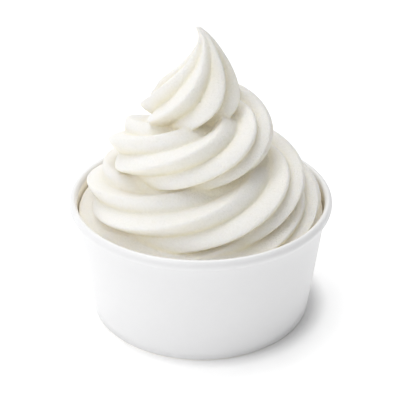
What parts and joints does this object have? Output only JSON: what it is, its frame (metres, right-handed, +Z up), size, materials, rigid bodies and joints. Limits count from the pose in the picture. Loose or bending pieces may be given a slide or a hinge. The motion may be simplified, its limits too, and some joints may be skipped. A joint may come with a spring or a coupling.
{
  "type": "frozen yogurt cup",
  "caption": "Round white paper cup with a rolled rim, filled with a tall ridged soft-serve swirl of ivory frozen yogurt that rises to a curled tip.",
  "frame": {"origin": "middle of the cup's foot, on the surface it stands on", "axes": "+Z up along the cup's axis; -Y is the side that the picture shows"},
  "size_m": [0.096, 0.096, 0.1115],
  "materials": {
    "cup_paper": "white coated paperboard, satin, with a rolled rim",
    "frozen_yogurt": "ivory soft serve, satin and slightly icy, light passes a little way in"
  },
  "bodies": {
    "root": {"cup": "cup_paper", "frozen_yogurt": "frozen_yogurt"}
  },
  "joints": []
}
